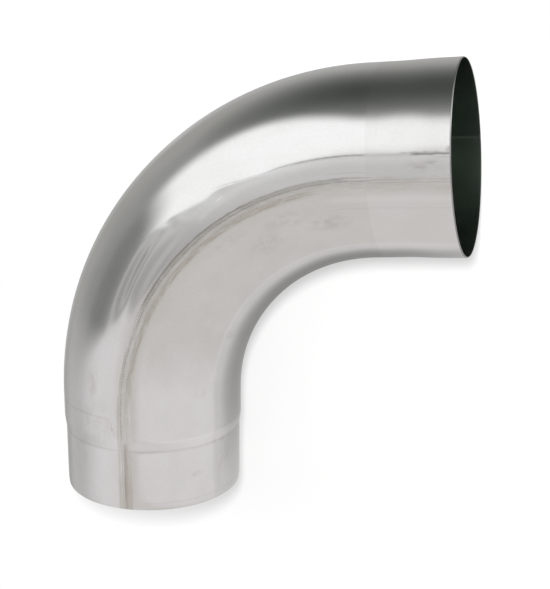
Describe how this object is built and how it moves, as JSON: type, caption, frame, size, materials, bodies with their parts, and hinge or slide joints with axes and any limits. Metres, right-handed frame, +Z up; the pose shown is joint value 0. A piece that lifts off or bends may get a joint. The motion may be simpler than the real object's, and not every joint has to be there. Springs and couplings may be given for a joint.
{
  "type": "downpipe bend",
  "caption": "Round stainless steel bend for a rainwater downpipe, just short of a right angle, with a drawn-in spigot end and a widened socket end.",
  "frame": {"origin": "centre of the spigot's end face", "axes": "-Y out of the spigot along its axis; the bend turns towards +X; +Z up, square to the plane of the bend, which lies on its side"},
  "size_m": [0.2272, 0.246, 0.1014],
  "materials": {
    "steel": "satin stainless sheet"
  },
  "bodies": {
    "root": {"bend": "steel"}
  },
  "joints": []
}
